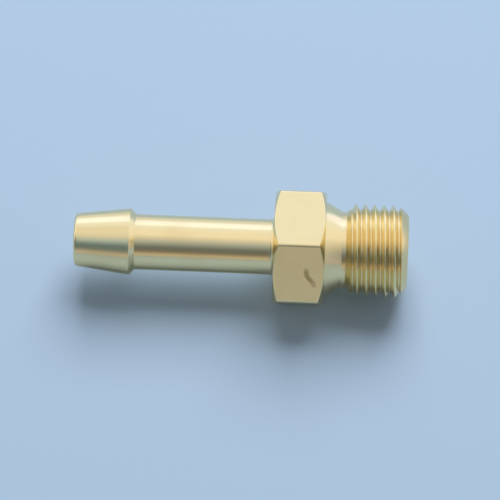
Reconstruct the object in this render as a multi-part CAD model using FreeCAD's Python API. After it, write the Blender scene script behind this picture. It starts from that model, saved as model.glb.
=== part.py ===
import FreeCAD, Part
import math
import os

# A brass hose tail, turned from one length of hexagon bar. Sizes are in mm. Its axis is X,
# with the thread end at +X and the hexagon's face on the hose side at x = 0. It lies on
# one flat of the hexagon, with +Z up.

# Hexagon bar, left at its drawn size between the two turned ends. The chamfers at both
# ends run down to a circle that lies a little inside the flats.
HEX_SIDES = 6
HEX_ACROSS_FLATS = 12.0
HEX_CORNER_RADIUS = 0.4
HEX_LENGTH = 5.5
HEX_CHAMFER_INSET = 0.1
HEX_CHAMFER_ANGLE = 30.0

# Hose side: a plain neck and one barb
NECK_DIAMETER = 6.0
NECK_LENGTH = 15.0
NECK_FILLET = 0.5
BARB_DIAMETER = 7.2
BARB_BACK_ANGLE = 45.0
BARB_CONE_LENGTH = 6.0
BARB_TIP_DIAMETER = 5.7
BARB_TIP_RADIUS = 0.4

# Thread side: a sealing cone, a relief groove and a fine metric thread, M10 x 1
SEAT_DIAMETER = 10.3
SEAT_ANGLE = 30.0
RELIEF_DIAMETER = 8.2
RELIEF_WIDTH = 0.43
THREAD_DIAMETER = 10.0
THREAD_PITCH = 1.0
THREAD_END = 14.4
THREAD_START_ANGLE = 45.0
THREAD_END_CHAMFER = 1.0
THREAD_LEAD_IN = 0.3

# Bore, drilled through from end to end
BORE_DIAMETER = 4.0
BORE_CHAMFER = 0.3

# Shape of the standard 60 degree thread, its depth and groove width as shares of the pitch
THREAD_DEPTH_SHARE = 0.6134
THREAD_GROOVE_SHARE = 0.875
THREAD_FLANK_ANGLE = 30.0

# How far a cutting tool runs past the surfaces that it leaves
TOOL_OVERRUN = 1.0
THREAD_TOOL_OVERRUN = 0.05


def slope_length(rise, angle):
    """Length along the axis of a slope that climbs by rise at this angle to the axis."""
    return rise / math.tan(math.radians(angle))


neck_radius = NECK_DIAMETER / 2
barb_radius = BARB_DIAMETER / 2
barb_tip_radius = BARB_TIP_DIAMETER / 2
hex_corner = HEX_ACROSS_FLATS / 2 / math.cos(math.pi / HEX_SIDES)
hex_face_radius = HEX_ACROSS_FLATS / 2 - HEX_CHAMFER_INSET
seat_radius = SEAT_DIAMETER / 2
relief_radius = RELIEF_DIAMETER / 2
thread_radius = THREAD_DIAMETER / 2
bore_radius = BORE_DIAMETER / 2

neck_start = -NECK_LENGTH
barb_crest = neck_start - slope_length(barb_radius - neck_radius, BARB_BACK_ANGLE)
barb_tip = barb_crest - BARB_CONE_LENGTH
hex_chamfer_depth = (hex_corner - hex_face_radius) * math.tan(math.radians(HEX_CHAMFER_ANGLE))
seat_end = HEX_LENGTH + slope_length(seat_radius - relief_radius, SEAT_ANGLE)
relief_end = seat_end + RELIEF_WIDTH
thread_start = relief_end + slope_length(thread_radius - relief_radius, THREAD_START_ANGLE)

X_AXIS = FreeCAD.Vector(1, 0, 0)


def point(x, radius):
    return FreeCAD.Vector(x, 0, radius)


def straight_runs(points):
    return [Part.makeLine(first, second) for first, second in zip(points, points[1:])]


def hexagon_bar():
    """Drawn bar over the whole length, two of its flats level, its corners rounded."""
    corners = [
        FreeCAD.Vector(barb_tip, hex_corner * math.cos(angle), hex_corner * math.sin(angle))
        for angle in [math.tau * step / HEX_SIDES for step in range(HEX_SIDES + 1)]
    ]
    length = THREAD_END - barb_tip
    bar = Part.Face(Part.makePolygon(corners)).extrude(X_AXIS * length)
    long_edges = [edge for edge in bar.Edges if edge.BoundBox.XLength > length / 2]
    return bar.makeFillet(HEX_CORNER_RADIUS, long_edges)


def hose_side_outline():
    """Barb, neck and the fillet that runs the neck into the hexagon's face."""
    fillet_start = point(-NECK_FILLET, neck_radius)
    fillet_end = point(0, neck_radius + NECK_FILLET)
    sagitta = NECK_FILLET * (1 - math.sqrt(0.5))
    fillet_middle = point(-sagitta, neck_radius + sagitta)
    runs = straight_runs([
        point(barb_tip, 0),
        point(barb_tip, barb_tip_radius),
        point(barb_crest, barb_radius),
        point(neck_start, neck_radius),
        fillet_start,
    ])
    return runs + [Part.Arc(fillet_start, fillet_middle, fillet_end).toShape()]


def hexagon_outline():
    """The two faces of the hexagon and the chamfers that take off its corners."""
    return straight_runs([
        point(0, neck_radius + NECK_FILLET),
        point(0, hex_face_radius),
        point(hex_chamfer_depth, hex_corner),
        point(HEX_LENGTH - hex_chamfer_depth, hex_corner),
        point(HEX_LENGTH, hex_face_radius),
        point(HEX_LENGTH, seat_radius),
    ])


def thread_side_outline():
    """Sealing cone, relief and the plain blank that the thread is cut into."""
    return straight_runs([
        point(HEX_LENGTH, seat_radius),
        point(seat_end, relief_radius),
        point(relief_end, relief_radius),
        point(thread_start, thread_radius),
        point(THREAD_END - THREAD_END_CHAMFER, thread_radius),
        point(THREAD_END, thread_radius - THREAD_END_CHAMFER),
        point(THREAD_END, 0),
    ])


def turned_blank():
    """What the lathe leaves of the bar, before the thread and the bore."""
    outline = hose_side_outline() + hexagon_outline() + thread_side_outline()
    outline += straight_runs([point(THREAD_END, 0), point(barb_tip, 0)])
    turning = Part.Face(Part.Wire(outline)).revolve(point(0, 0), X_AXIS, 360)
    return hexagon_bar().common(turning)


def round_barb_tip(body):
    """Rounded lip at the tip of the barb, so that it doesn't cut the hose."""
    tip_edges = [edge for edge in body.Edges if edge.BoundBox.XMax < barb_tip + BARB_TIP_RADIUS]
    return body.makeFillet(BARB_TIP_RADIUS, tip_edges)


def thread_tool():
    """Right-hand V groove, from beyond the end face back to open air over the relief."""
    root_radius = thread_radius - THREAD_DEPTH_SHARE * THREAD_PITCH
    outer_radius = thread_radius + THREAD_TOOL_OVERRUN * THREAD_PITCH
    flank_slope = math.tan(math.radians(THREAD_FLANK_ANGLE))
    crest_half_width = THREAD_GROOVE_SHARE * THREAD_PITCH / 2
    outer_half_width = crest_half_width + (outer_radius - thread_radius) * flank_slope
    root_half_width = outer_half_width - (outer_radius - root_radius) * flank_slope
    first_groove = THREAD_END - THREAD_LEAD_IN
    turns = math.ceil((first_groove - relief_end) / THREAD_PITCH)
    start = first_groove - turns * THREAD_PITCH
    height = (turns + 1) * THREAD_PITCH
    helix = Part.makeLongHelix(THREAD_PITCH, height, root_radius, 0)
    section = Part.makePolygon([
        FreeCAD.Vector(root_radius, 0, -root_half_width),
        FreeCAD.Vector(outer_radius, 0, -outer_half_width),
        FreeCAD.Vector(outer_radius, 0, outer_half_width),
        FreeCAD.Vector(root_radius, 0, root_half_width),
        FreeCAD.Vector(root_radius, 0, -root_half_width),
    ])
    groove = helix.makePipeShell([section], True, True)
    third_of_turn = FreeCAD.Rotation(FreeCAD.Vector(1, 1, 1), 120)  # brings Z to X, X to Y
    groove.Placement = FreeCAD.Placement(point(start, 0), third_of_turn)
    return groove


def bore_tool():
    """Drill through the whole length, with a countersink at the thread end."""
    start = barb_tip - TOOL_OVERRUN
    drill_length = THREAD_END + TOOL_OVERRUN - start
    drill = Part.makeCylinder(bore_radius, drill_length, point(start, 0), X_AXIS)
    sink_start = point(THREAD_END - BORE_CHAMFER, 0)
    sink_depth = BORE_CHAMFER + TOOL_OVERRUN
    sink = Part.makeCone(bore_radius, bore_radius + sink_depth, sink_depth, sink_start, X_AXIS)
    return drill.fuse(sink)


def hose_tail():
    body = round_barb_tip(turned_blank())
    body = body.cut(thread_tool())
    return body.cut(bore_tool())


os.makedirs("parts", exist_ok=True)
hose_tail().exportStep("parts/hose_tail.step")
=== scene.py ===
import bpy
import math
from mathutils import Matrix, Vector


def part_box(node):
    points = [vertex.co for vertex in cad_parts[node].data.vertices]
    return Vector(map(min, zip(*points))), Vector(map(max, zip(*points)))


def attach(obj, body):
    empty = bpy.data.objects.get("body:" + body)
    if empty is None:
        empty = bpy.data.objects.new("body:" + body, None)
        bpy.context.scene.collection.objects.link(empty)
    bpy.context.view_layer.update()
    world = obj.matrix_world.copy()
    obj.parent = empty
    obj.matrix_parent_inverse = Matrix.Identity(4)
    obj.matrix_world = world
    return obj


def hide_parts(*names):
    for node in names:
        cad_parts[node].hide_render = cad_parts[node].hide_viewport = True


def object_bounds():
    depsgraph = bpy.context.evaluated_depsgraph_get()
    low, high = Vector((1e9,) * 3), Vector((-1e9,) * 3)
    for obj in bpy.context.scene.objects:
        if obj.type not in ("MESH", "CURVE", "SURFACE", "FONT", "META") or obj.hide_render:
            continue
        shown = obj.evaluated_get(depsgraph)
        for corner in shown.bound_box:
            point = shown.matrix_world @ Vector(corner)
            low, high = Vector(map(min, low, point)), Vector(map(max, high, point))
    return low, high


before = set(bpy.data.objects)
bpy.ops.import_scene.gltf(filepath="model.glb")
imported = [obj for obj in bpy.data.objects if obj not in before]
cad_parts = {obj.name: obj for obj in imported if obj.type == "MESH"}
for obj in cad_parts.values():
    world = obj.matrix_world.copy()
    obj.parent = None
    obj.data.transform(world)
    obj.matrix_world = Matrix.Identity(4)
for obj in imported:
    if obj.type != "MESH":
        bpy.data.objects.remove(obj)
cad_low, cad_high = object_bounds()

# The bar. The hose tail is turned from one length of drawn hexagon bar, of free-cutting
# brass. Drawing leaves the six flats true and the corners between them a little rounded.
# The bar lies with one flat level, and here it ends in the relief behind the thread.
mm = 0.001
tail_low, tail_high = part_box("hose_tail")
bar_sides = 6
bar_across_flats = 2 * tail_high.z
bar_corner_radius = 0.4 * mm
bar_corner_steps = 6
bar_overhang = 1.0 * mm
relief_middle = 7.53 * mm

half_corner_angle = math.pi / bar_sides
bar_start = tail_low.x - bar_overhang
bar_length = relief_middle - bar_start


def edit(piece):
    bpy.context.view_layer.objects.active = piece
    bpy.ops.object.mode_set(mode="EDIT")


def leave_edit():
    bpy.ops.object.mode_set(mode="OBJECT")


def choose_edges(piece, wanted):
    """Select only the edges of the piece whose two ends pass the test, in edit mode."""
    bpy.ops.mesh.select_mode(type="EDGE")
    bpy.ops.mesh.select_all(action="DESELECT")
    leave_edit()
    points = piece.data.vertices
    for edge in piece.data.edges:
        edge.select = wanted(*[points[number].co for number in edge.vertices])
    edit(piece)


bpy.ops.object.select_all(action="DESELECT")
bpy.ops.mesh.primitive_cylinder_add(
    vertices=bar_sides,
    radius=bar_across_flats / 2 / math.cos(half_corner_angle),
    depth=bar_length,
    location=(bar_start + bar_length / 2, 0, 0),
    rotation=(0, math.radians(90), 0),
)
tail = bpy.context.object
tail.name = "turned_hose_tail"
bpy.ops.object.transform_apply(location=True, rotation=True, scale=True)
edit(tail)
choose_edges(tail, lambda start, end: abs(start.x - end.x) > bar_length / 2)
bpy.ops.mesh.bevel(
    offset=bar_corner_radius * math.tan(half_corner_angle),
    segments=bar_corner_steps,
)
leave_edit()

# The thread. It is a right-hand M10 x 1 thread, cut by a single-point tool: 60 degree
# flanks, a rounded root, and narrow crests whose edges are just broken. One turn's outline
# is wound up the axis into a threaded rod, which stays in one piece with the bar.
thread_radius = 5.0 * mm
thread_pitch = 1.0 * mm
thread_depth = 0.6134 * thread_pitch
thread_crest = 0.125 * thread_pitch
thread_flank_angle = math.radians(30)
thread_root_rounding = 0.1 * mm
thread_crest_rounding = 0.06 * mm
thread_root_place = 6.10 * mm
thread_turns = 9
turn_steps = 192
rounding_steps = 4
weld_distance = 0.0005 * mm


def draw_chain(name, places):
    """Chain of edges from place to place, left in edit mode."""
    bpy.ops.object.select_all(action="DESELECT")
    bpy.ops.mesh.primitive_plane_add(size=mm)
    chain = bpy.context.object
    chain.name = name
    edit(chain)
    bpy.ops.mesh.select_mode(type="VERT")
    bpy.ops.mesh.merge(type="CENTER")
    bpy.ops.transform.translate(value=places[0])
    for before, place in zip(places, places[1:]):
        bpy.ops.mesh.extrude_region_move(TRANSFORM_OT_translate={"value": place - before})
    return chain


def choose_point(piece, place):
    """Select only the point of the piece that lies at this place, in edit mode."""
    bpy.ops.mesh.select_mode(type="VERT")
    bpy.ops.mesh.select_all(action="DESELECT")
    leave_edit()
    nearest = min(piece.data.vertices, key=lambda point: (point.co - place).length)
    nearest.select = True
    edit(piece)


def draw_outline(name, corners, closed):
    """Outline in the XY plane. A corner is its x, its radius and its own rounding."""
    places = [Vector((x, radius, 0)) for x, radius, rounding in corners]
    outline = draw_chain(name, places)
    if closed:
        bpy.ops.mesh.select_all(action="SELECT")
        bpy.ops.mesh.edge_face_add()
        bpy.ops.mesh.delete(type="ONLY_FACE")
    neighbours = zip(places[-1:] + places, places, places[1:] + places[:1], corners)
    for before, place, after, (x, radius, rounding) in neighbours:
        if rounding:
            turn = (place - before).angle(after - place)
            choose_point(outline, place)
            bpy.ops.mesh.bevel(
                affect="VERTICES",
                offset=rounding * math.tan(turn / 2),
                segments=rounding_steps,
            )
    leave_edit()
    return outline


def finish_with(piece, kind, **settings):
    """Give the piece a modifier of this kind and apply it."""
    bpy.context.view_layer.objects.active = piece
    modifier = piece.modifiers.new(kind.lower(), kind)
    for name, setting in settings.items():
        setattr(modifier, name, setting)
    bpy.ops.object.modifier_apply(modifier=modifier.name)


def weld(piece):
    """Merge the points that meet and face the whole skin outwards, in edit mode."""
    bpy.ops.mesh.select_all(action="SELECT")
    bpy.ops.mesh.remove_doubles(threshold=weld_distance)
    bpy.ops.mesh.normals_make_consistent(inside=False)


def cut_with(piece, tool, operation):
    """Join, trim or cut the piece with a tool, which is then thrown away."""
    finish_with(piece, "BOOLEAN", operation=operation, solver="EXACT", object=tool)
    bpy.data.objects.remove(tool)


root_radius = thread_radius - thread_depth
flank_run = thread_depth * math.tan(thread_flank_angle)
crest_start = thread_root_place + (thread_pitch - thread_crest) / 2
crest_end = crest_start + thread_crest
rod = draw_outline("rod", [
    (thread_root_place, root_radius, 0),
    (crest_start - flank_run, root_radius, thread_root_rounding),
    (crest_start, thread_radius, thread_crest_rounding),
    (crest_end, thread_radius, thread_crest_rounding),
    (crest_end + flank_run, root_radius, thread_root_rounding),
    (thread_root_place + thread_pitch, root_radius, 0),
], closed=False)
finish_with(
    rod, "SCREW",
    axis="X",
    angle=math.tau,
    screw_offset=thread_pitch,
    iterations=thread_turns,
    steps=turn_steps,
    render_steps=turn_steps,
)
rod_middle = thread_root_place + thread_turns * thread_pitch / 2
edit(rod)
weld(rod)

# Each open end of the rod is closed by a fan of faces that meet in one point.
for side in (-1, 1):
    bpy.ops.mesh.select_mode(type="EDGE")
    bpy.ops.mesh.select_all(action="DESELECT")
    bpy.ops.mesh.select_non_manifold()
    leave_edit()
    for edge in rod.data.edges:
        place = rod.data.vertices[edge.vertices[0]].co
        edge.select = edge.select and (place.x - rod_middle) * side > 0
    edit(rod)
    bpy.ops.mesh.extrude_region_move()
    bpy.ops.mesh.merge(type="CENTER")
weld(rod)
leave_edit()
cut_with(tail, rod, "UNION")

# The turning. A lathe takes the bar down to this outline on both sides of the hexagon: the
# barb and neck that a hose is pushed over, and the sealing cone, relief and thread blank
# that go into a port. It also chamfers the hexagon and bores the part through.
barb_tip_radius = 2.85 * mm
barb_tip_rounding = 0.4 * mm
barb_radius = 3.6 * mm
barb_length = 6.0 * mm
barb_back_length = 0.6 * mm
neck_radius = 3.0 * mm
neck_fillet = 0.5 * mm
hexagon_length = 5.5 * mm
hexagon_face_radius = 5.9 * mm
hexagon_chamfer_angle = math.radians(30)
seat_radius = 5.15 * mm
seat_angle = math.radians(30)
relief_radius = 4.1 * mm
relief_width = 0.43 * mm
thread_end_chamfer = 1.0 * mm
thread_clearance = 0.03 * mm
bore_radius = 2.0 * mm
bore_chamfer = 0.3 * mm
broken_edge = 0.06 * mm

barb_crest = tail_low.x + barb_length
neck_start = barb_crest + barb_back_length
bar_corner = bar_across_flats / 2 / math.cos(half_corner_angle)
hexagon_chamfer = (bar_corner - hexagon_face_radius) * math.tan(hexagon_chamfer_angle)
seat_end = hexagon_length + (seat_radius - relief_radius) / math.tan(seat_angle)
relief_end = seat_end + relief_width
blank_radius = thread_radius + thread_clearance
turning = draw_outline("turning", [
    (tail_low.x, bore_radius, broken_edge),
    (tail_low.x, barb_tip_radius, barb_tip_rounding),
    (barb_crest, barb_radius, broken_edge),
    (neck_start, neck_radius, broken_edge),
    (0, neck_radius, neck_fillet),
    (0, hexagon_face_radius, broken_edge),
    (hexagon_chamfer, bar_corner, 0),
    (hexagon_length - hexagon_chamfer, bar_corner, 0),
    (hexagon_length, hexagon_face_radius, broken_edge),
    (hexagon_length, seat_radius, broken_edge),
    (seat_end, relief_radius, broken_edge),
    (relief_end, relief_radius, broken_edge),
    (relief_end + blank_radius - relief_radius, blank_radius, 0),
    (tail_high.x - thread_end_chamfer - thread_clearance, blank_radius, 0),
    (tail_high.x, thread_radius - thread_end_chamfer, broken_edge),
    (tail_high.x, bore_radius + bore_chamfer, broken_edge),
    (tail_high.x - bore_chamfer, bore_radius, broken_edge),
], closed=True)
edit(turning)
bpy.ops.mesh.select_all(action="SELECT")
bpy.ops.mesh.spin(steps=turn_steps, angle=math.tau, center=(0, 0, 0), axis=(1, 0, 0))
weld(turning)
leave_edit()
cut_with(tail, turning, "INTERSECT")

# The hexagon's worn edges. Handling has broken the curved edges between the flats and the
# chamfers. One flat has been knocked: a shallow curved gouge runs down it towards the
# thread side. Each place in its run is given with half the gouge's width there.
hexagon_edge_break = 0.05 * mm
hexagon_edge_steps = 3
sharp_edge_angle = math.radians(28)
gouged_flat_turn = math.radians(150)
gouge_depth = 0.05 * mm
gouge_sides = 24
gouge_smoothing = 2
gouge_run = [
    (3.63 * mm, -0.73 * mm, 0.06 * mm),
    (3.60 * mm, -0.49 * mm, 0.12 * mm),
    (3.60 * mm, -0.25 * mm, 0.22 * mm),
    (3.64 * mm, 0.04 * mm, 0.26 * mm),
    (3.78 * mm, 0.33 * mm, 0.26 * mm),
    (4.00 * mm, 0.59 * mm, 0.25 * mm),
    (4.22 * mm, 0.83 * mm, 0.24 * mm),
    (4.39 * mm, 1.07 * mm, 0.20 * mm),
    (4.46 * mm, 1.31 * mm, 0.15 * mm),
    (4.45 * mm, 1.53 * mm, 0.08 * mm),
]
flat_out = Vector((0, math.cos(gouged_flat_turn), math.sin(gouged_flat_turn)))
flat_down = Vector((1, 0, 0)).cross(flat_out)


def on_gouged_flat(x, down, out):
    """Place by the knocked flat: along the axis, down from its middle, out from it."""
    return Vector((x, 0, 0)) + flat_down * down + flat_out * (bar_across_flats / 2 + out)


def on_bar_skin(place):
    return math.hypot(place.y, place.z) > bar_across_flats / 2 - weld_distance


edit(tail)
choose_edges(tail, lambda start, end: (
    on_bar_skin(start) and on_bar_skin(end) and abs(start.x - end.x) < hexagon_length / 2
))
bpy.ops.mesh.bevel(offset=hexagon_edge_break, segments=hexagon_edge_steps)
leave_edit()

gouge_rings = []
for x, down, half_width in gouge_run:
    ring_radius = (half_width ** 2 + gouge_depth ** 2) / (2 * gouge_depth)
    gouge_rings.append((on_gouged_flat(x, down, ring_radius - gouge_depth), ring_radius))
first_place, first_radius = gouge_rings[0]
last_place, last_radius = gouge_rings[-1]
bpy.ops.object.select_all(action="DESELECT")
bpy.ops.mesh.primitive_circle_add(
    vertices=gouge_sides,
    radius=first_radius,
    fill_type="NGON",
    location=first_place,
    rotation=(last_place - first_place).to_track_quat("Z", "Y").to_euler(),
)
gouge = bpy.context.object
gouge.name = "gouge"
bpy.ops.object.transform_apply(location=True, rotation=True, scale=True)
edit(gouge)
for (before, before_radius), (place, ring_radius) in zip(gouge_rings, gouge_rings[1:]):
    bpy.ops.mesh.extrude_region_move(TRANSFORM_OT_translate={"value": place - before})
    growth = ring_radius / before_radius
    bpy.ops.transform.resize(value=(growth, growth, growth), center_override=place)
weld(gouge)
leave_edit()
finish_with(gouge, "SUBSURF", levels=gouge_smoothing, render_levels=gouge_smoothing)
cut_with(tail, gouge, "DIFFERENCE")

edit(tail)
weld(tail)
bpy.ops.mesh.dissolve_degenerate(threshold=weld_distance)
leave_edit()
bpy.ops.object.select_all(action="DESELECT")
tail.select_set(True)
bpy.ops.object.shade_smooth_by_angle(angle=sharp_edge_angle)
finish_with(tail, "WEIGHTED_NORMAL", keep_sharp=True)

# The turned brass. The metal is bright and unplated, with a dull patch here and there. What
# the lathe has cut carries fine rings round the axis, which lie a little further apart on
# the faces at the ends. The thread's groove is painted darker: painted shade and some dirt.
bright_brass = (0.890, 0.755, 0.420, 1)
dull_brass = (0.80, 0.63, 0.32, 1)
shade_and_dirt_groove_brass = (0.82, 0.62, 0.31, 1)
patch_scale = (250, 250, 250)
patch_edge = (0.45, 0.75)
patch_dullness = 0.35
ring_scale = 6.0 / mm
ring_height = 0.0018 * mm
feed = 0.13 * mm
feed_height = 0.00024 * mm
end_face_feed_share = 0.7
groove_fade = 0.1 * mm
groove_shade_and_dirt_share = 0.35
turned_roughness = 0.13
ring_roughness = 0.09
patch_roughness = 0.12
groove_roughness = 0.02


class Shade:
    """A value in a shader. Sums written with it add the Math nodes that work them out."""

    def __init__(self, tree, output=None):
        self.tree = tree
        self.output = output

    def node(self, kind, settings=None, inputs=None, output=0):
        """Add a node to the same shader: its settings are made first, then its inputs."""
        added = self.tree.nodes.new(kind)
        for name, setting in (settings or {}).items():
            setattr(added, name, setting)
        for name, given in (inputs or {}).items():
            if isinstance(given, Shade):
                self.tree.links.new(given.output, added.inputs[name])
            else:
                added.inputs[name].default_value = given
        return Shade(self.tree, added.outputs[output])

    def beside(self, output):
        """Another output of the same node."""
        return Shade(self.tree, self.output.node.outputs[output])

    def maths(self, operation, *values):
        settings = {"operation": operation}
        return self.node("ShaderNodeMath", settings, dict(enumerate(values)))

    def vector(self, operation, *values, output=0):
        settings = {"operation": operation}
        return self.node("ShaderNodeVectorMath", settings, dict(enumerate(values)), output)

    def between(self, low, high):
        """Runs smoothly from 0 to 1 as the value goes from low to high."""
        settings = {"interpolation_type": "SMOOTHSTEP"}
        return self.node("ShaderNodeMapRange", settings, {0: self, 1: low, 2: high})

    def mix(self, one, other):
        """Colour that goes from one to the other as the value goes from 0 to 1."""
        inputs = {0: self, 6: one, 7: other}  # a Mix node's colours are its inputs 6 and 7
        return self.node("ShaderNodeMix", {"data_type": "RGBA"}, inputs, output=2)

    def __add__(self, other):
        return self.maths("ADD", self, other)

    __radd__ = __add__

    def __sub__(self, other):
        return self.maths("SUBTRACT", self, other)

    def __rsub__(self, other):
        return self.maths("SUBTRACT", other, self)

    def __mul__(self, other):
        return self.maths("MULTIPLY", self, other)

    __rmul__ = __mul__


def start_brass(name):
    """Material of solid brass, its main shader, and the place on the piece as a value."""
    material = bpy.data.materials.new(name)
    material.use_nodes = True
    principled = material.node_tree.nodes["Principled BSDF"]
    principled.inputs["Metallic"].default_value = 1
    shade = Shade(material.node_tree)
    place = shade.node("ShaderNodeTexCoord", output="Object")
    return material, principled, place


def noise(place, scale, detail, roughness=0.5):
    """Noise in three dimensions, with a scale in cells per metre along each axis."""
    stretched = place.vector("MULTIPLY", place, scale)
    inputs = {"Vector": stretched, "Scale": 1.0, "Detail": detail, "Roughness": roughness}
    return place.node("ShaderNodeTexNoise", None, inputs)


def give(shader, name, value):
    """Link the value to this input of the shader."""
    shader.id_data.links.new(value.output, shader.inputs[name])


def raise_marks(shader, height):
    """Give the shader marks that stand up by this height, in metres."""
    bump = height.node("ShaderNodeBump", None, {"Height": height, "Distance": 1.0})
    give(shader, "Normal", bump)


turned, principled, place = start_brass("turned_brass")
parts = place.node("ShaderNodeSeparateXYZ", None, {0: place})
along, across, height = parts, parts.beside("Y"), parts.beside("Z")
radius = place.maths("SQRT", across * across + height * height)
tool_travel = along + radius * end_face_feed_share
rings = place.node("ShaderNodeTexNoise", {"noise_dimensions": "1D"}, {
    "W": tool_travel * ring_scale, "Scale": 1.0, "Detail": 3.0, "Roughness": 0.6,
})
feed_marks = place.maths("SINE", tool_travel * (math.tau / feed))
patches = noise(place, patch_scale, detail=3).between(*patch_edge) * patch_dullness
in_thread = along.between(relief_end - 2 * groove_fade, relief_end)
in_groove = radius.between(thread_radius - groove_fade, root_radius + groove_fade) * in_thread
skin = patches.mix(bright_brass, dull_brass)
# Painted shade and dirt: the thread's groove takes a darker brass colour.
give(principled, "Base Color", (in_groove * groove_shade_and_dirt_share).mix(skin, shade_and_dirt_groove_brass))
roughness = turned_roughness + rings * ring_roughness + patches * patch_roughness
give(principled, "Roughness", roughness + in_groove * groove_roughness)
raise_marks(principled, rings * ring_height + feed_marks * feed_height)

# The drawn brass. The flats keep the skin of the bar, with the fine lines along it that
# drawing left and a few scratches. Round the gouge the metal is bruised dark, with a ragged
# edge, and further down it is smeared to a paler, redder brown.
bruised_brass = (0.54, 0.38, 0.148, 1)
smeared_brass = (0.775, 0.505, 0.27, 1)
drawn_patch_scale = (300, 300, 300)
drawn_patch_dullness = 0.3
fine_line_scale = (350, 7000, 7000)
fine_line_height = 0.00016 * mm
broad_line_scale = (120, 1800, 1800)
broad_line_height = 0.00024 * mm
broad_line_edge = (0.5, 0.8)
broad_line_dullness = 0.08
scratch_edge = (0.62, 0.74)
scratch_dullness = 0.2
bruise_edge = (0.34 * mm, 0.16 * mm)
bruise_raggedness = 0.2 * mm
bruise_top = (-0.95 * mm, -0.25 * mm)
bruise_strength = 0.85
smear_top = (0.65 * mm, 1.1 * mm)
drawn_roughness = 0.24
line_roughness = 0.05
bruise_roughness = 0.15
turned_face_lean = 0.5

drawn, principled, place = start_brass("drawn_brass")
fine_lines = noise(place, fine_line_scale, detail=3, roughness=0.6)
broad_lines = noise(place, broad_line_scale, detail=2)
patches = noise(place, drawn_patch_scale, detail=3)
scratches = fine_lines.between(*scratch_edge) * scratch_dullness
broad_marks = broad_lines.between(*broad_line_edge) * broad_line_dullness
tarnish = patches.between(*patch_edge) * drawn_patch_dullness + broad_marks + scratches
gouge_line = [
    on_gouged_flat(x, down, -gouge_depth / 2) for x, down, half_width in gouge_run[1:-1]
]
from_gouge = None
for start, end in zip(gouge_line, gouge_line[1:]):
    run = end - start
    from_start = place.vector("SUBTRACT", place, start)
    share = place.vector("DOT_PRODUCT", from_start, run / run.length_squared, output="Value")
    share = place.maths("MINIMUM", place.maths("MAXIMUM", share, 0.0), 1.0)
    nearest = place.node("ShaderNodeCombineXYZ", None, {
        "X": share * run.x, "Y": share * run.y, "Z": share * run.z,
    })
    away = place.vector("DISTANCE", from_start, nearest, output="Value")
    from_gouge = away if from_gouge is None else place.maths("MINIMUM", from_gouge, away)
ragged_edge = from_gouge + (patches - 0.5) * bruise_raggedness
down_flat = place.vector("DOT_PRODUCT", place, flat_down, output="Value")
bruise = ragged_edge.between(*bruise_edge) * down_flat.between(*bruise_top)
bruise_colour = down_flat.between(*smear_top).mix(bruised_brass, smeared_brass)
skin = tarnish.mix(bright_brass, dull_brass)
give(principled, "Base Color", (bruise * bruise_strength).mix(skin, bruise_colour))
roughness = drawn_roughness + fine_lines * line_roughness + bruise * bruise_roughness
give(principled, "Roughness", roughness)
raise_marks(principled, fine_lines * fine_line_height + broad_lines * broad_line_height)


def left_as_drawn(face):
    """True on the flats, on the rounded corners between them, and inside the gouge."""
    from_axis = math.hypot(face.center.y, face.center.z)
    on_bar = from_axis > bar_across_flats / 2 - 2 * gouge_depth
    return on_bar and abs(face.normal.x) < turned_face_lean


tail.data.materials.clear()
tail.data.materials.append(turned)
tail.data.materials.append(drawn)
for face in tail.data.polygons:
    face.material_index = 1 if left_as_drawn(face) else 0
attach(tail, "root")
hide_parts("hose_tail")

# The card. For its picture the hose tail lies on a large sheet of pale blue card, which is
# no part of it. The card is matt, so it takes the hose tail's shadow and shines nowhere.
card_width = 3.0
card_roughness = 0.8
card_blue = (0.48, 0.64, 0.84, 1)

bpy.ops.object.select_all(action="DESELECT")
bpy.ops.mesh.primitive_plane_add(size=card_width, location=(0, 0, cad_low.z))
card = bpy.context.object
card.name = "card"
matt_card = bpy.data.materials.new("matt_card")
matt_card.use_nodes = True
principled = matt_card.node_tree.nodes["Principled BSDF"]
principled.inputs["Base Color"].default_value = card_blue
principled.inputs["Roughness"].default_value = card_roughness
card.data.materials.append(matt_card)

# The softbox. It stands behind the hose tail and a little to the right, and shines down on
# it. Its cloth face, which the brass shows, is dim and cool. Its light on the card is made by
# a second lamp, higher up, so that the shadow falls short and soft in front.
softbox_turn = math.radians(10)
softbox_distance = 0.7
cloth_blue = (0.40, 0.52, 1.0)


def add_softbox(name, rise, width, height, brightness):
    """Softbox that faces the hose tail from this height, as an angle above the card."""
    place = Vector((
        math.sin(softbox_turn) * math.cos(rise),
        math.cos(softbox_turn) * math.cos(rise),
        math.sin(rise),
    )) * softbox_distance
    bpy.ops.object.select_all(action="DESELECT")
    bpy.ops.object.light_add(
        type="AREA",
        location=place,
        rotation=(-place).to_track_quat("-Z", "Y").to_euler(),
    )
    softbox = bpy.context.object
    softbox.name = name
    softbox.data.shape = "RECTANGLE"
    softbox.data.size = width
    softbox.data.size_y = height
    softbox.data.energy = brightness * math.pi * width * height
    return softbox


softbox_face = add_softbox(
    "softbox_face", rise=math.radians(34), width=0.9, height=0.38, brightness=0.6,
)
softbox_face.data.color = cloth_blue
softbox_face.visible_diffuse = False
softbox_light = add_softbox(
    "softbox_light", rise=math.radians(55), width=0.5, height=0.6, brightness=4.8,
)
softbox_light.visible_glossy = False

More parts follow.
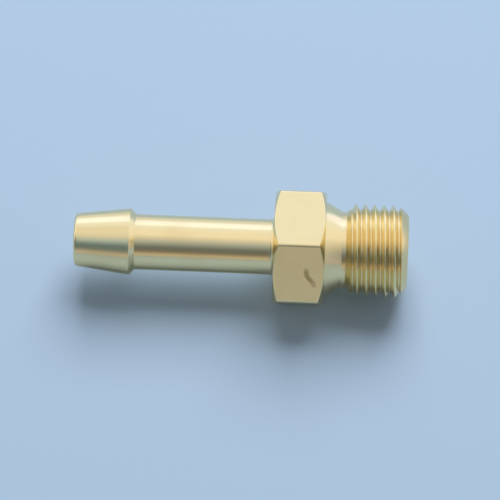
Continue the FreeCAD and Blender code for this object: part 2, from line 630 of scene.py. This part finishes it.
# The studio. Its walls are white and bright behind the hose tail, and dim in front of it but
# for a low glow from the far end of the room. The brass mirrors them. The card gets an even
# light from all round, and where the card ends, a pale backdrop shows.
room_light = 0.25
backdrop_brightness = 0.7
wall_middle = 1.0
wall_brightest = 0.99
wall_dimmest = 0.17
brighter_behind = 1.05
dimmer_aside = 0.15
dimmer_in_corner = 0.38
left_glow = 0.12
left_shading = 0.11
back_shading = 0.15
window_glow = 0.16
end_glow = 0.35
end_glow_lost_in_corner = 0.9
plain_white = (1, 1, 1, 1)
wall_white = (0.98, 1.02, 1.12, 1)
ceiling_white = (1.02, 0.98, 0.98, 1)
window_blue = (0.98, 1.04, 1.40, 1)
front_blue = (0.93, 1.08, 1.32, 1)
left_blue = (0.87, 1.33, 1.85, 1)
corner_warm = (1.06, 0.99, 1.08, 1)
glow_warm = (1.13, 1.02, 0.92, 1)

world = bpy.data.worlds.new("studio")
bpy.context.scene.world = world
world.use_nodes = True
background = world.node_tree.nodes["Background"]
studio = Shade(world.node_tree)
direction = studio.node("ShaderNodeTexCoord", output="Generated")
parts = studio.node("ShaderNodeSeparateXYZ", None, {0: direction})
right, behind, above = parts, parts.beside("Y"), parts.beside("Z")
aside = studio.maths("ABSOLUTE", right)

# Each part of the room fades in over a range of directions: to the right, behind and above.
back_wall = behind.between(0.3, 0.55)
back_shade = behind.between(0.8, 1.0)
side_windows = aside.between(0.3, 0.55) * behind.between(0.55, 0.8)
front_wall = behind.between(-0.15, -0.6)
left_corner = right.between(-0.3, -0.7) * behind.between(-0.1, -0.34)
left_wall = right.between(-0.05, -0.25) * right.between(-0.7, -0.45)
left_light = left_wall * behind.between(-0.05, -0.3) * behind.between(-0.75, -0.45)
left_shade = left_wall * behind.between(-0.1, 0.05) * behind.between(0.5, 0.3)
left_front = left_wall * behind.between(-0.3, -0.8)
low_corners = aside.between(0.4, 0.65) * above.between(0.3, 0.08) * behind.between(-0.3, -0.5)
low_front = above.between(0.42, 0.04) * behind.between(-0.2, -0.8)
far_end = behind.between(-0.82, -0.97)

walls = wall_middle + behind * brighter_behind - aside * dimmer_aside
walls = walls - left_corner * dimmer_in_corner + left_light * left_glow
walls = studio.maths("MAXIMUM", studio.maths("MINIMUM", walls, wall_brightest), wall_dimmest)
walls = walls - left_shade * left_shading - back_shade * back_shading
walls = walls + side_windows * window_glow
low_glow = low_front * end_glow * (1.0 - left_corner * end_glow_lost_in_corner)
tint = back_wall.mix(ceiling_white, wall_white)
tint = side_windows.mix(tint, window_blue)
tint = front_wall.mix(tint, front_blue)
tint = left_front.mix(tint, left_blue)
tint = low_corners.mix(tint, corner_warm)
tint = far_end.mix(tint, glow_warm)
in_metal = studio.node("ShaderNodeLightPath", output="Is Glossy Ray")
in_view = in_metal.beside("Is Camera Ray")
strength = room_light + in_metal * (walls + low_glow - room_light)
give(background, "Strength", strength + in_view * (backdrop_brightness - room_light))
give(background, "Color", in_view.mix(in_metal.mix(plain_white, tint), card_blue))

# The camera. It looks down on the hose tail's middle from in front and a little from the
# right, with a long lens, so that the bore's axis runs slightly down to the right.
camera_turn = math.radians(2.64)
camera_rise = math.radians(57.6)
camera_distance = 0.35
camera_sensor = 36
view_width = 54.1 * mm
view_middle = -2.615 * mm
view_drop = 0.41 * mm

to_camera = Vector((
    math.sin(camera_turn) * math.cos(camera_rise),
    -math.cos(camera_turn) * math.cos(camera_rise),
    math.sin(camera_rise),
))
camera_up = Vector((
    -math.sin(camera_turn) * math.sin(camera_rise),
    math.cos(camera_turn) * math.sin(camera_rise),
    math.cos(camera_rise),
))
looked_at = Vector((view_middle, 0, 0)) - camera_up * view_drop
bpy.ops.object.select_all(action="DESELECT")
bpy.ops.object.camera_add(
    location=looked_at + to_camera * camera_distance,
    rotation=(-to_camera).to_track_quat("-Z", "Y").to_euler(),
)
camera = bpy.context.object
camera.name = "camera"
camera.data.sensor_width = camera_sensor
camera.data.lens = camera_sensor * camera_distance / view_width
bpy.context.scene.camera = camera
bpy.context.scene.view_settings.view_transform = "Standard"
